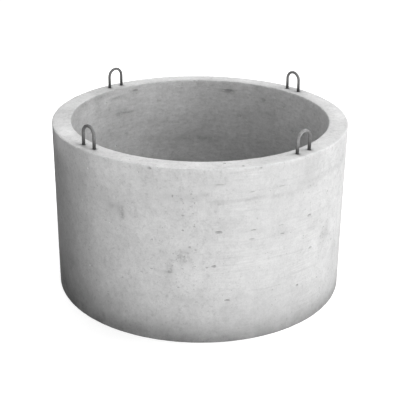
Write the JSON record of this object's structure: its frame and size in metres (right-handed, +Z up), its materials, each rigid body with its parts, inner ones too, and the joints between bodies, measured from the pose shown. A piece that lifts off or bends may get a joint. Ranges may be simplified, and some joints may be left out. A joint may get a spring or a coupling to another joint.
{
  "type": "concrete culvert ring",
  "caption": "Short, wide precast concrete ring standing on end, open right through, with plain steel bar lifting loops cast into its flat top rim.",
  "frame": {"origin": "centre of the bottom face, on the ring's axis", "axes": "+Z up along the ring's axis, from the bottom face to the rim; lifting loops 1 to 4 stand at +X, +Y, -X and -Y"},
  "size_m": [1.1498, 1.15, 0.763],
  "materials": {
    "concrete": "matte",
    "loop_steel": "matte"
  },
  "bodies": {
    "root": {"concrete_ring": "concrete", "lifting_loop_1": "loop_steel", "lifting_loop_2": "loop_steel", "lifting_loop_3": "loop_steel", "lifting_loop_4": "loop_steel"}
  },
  "joints": []
}
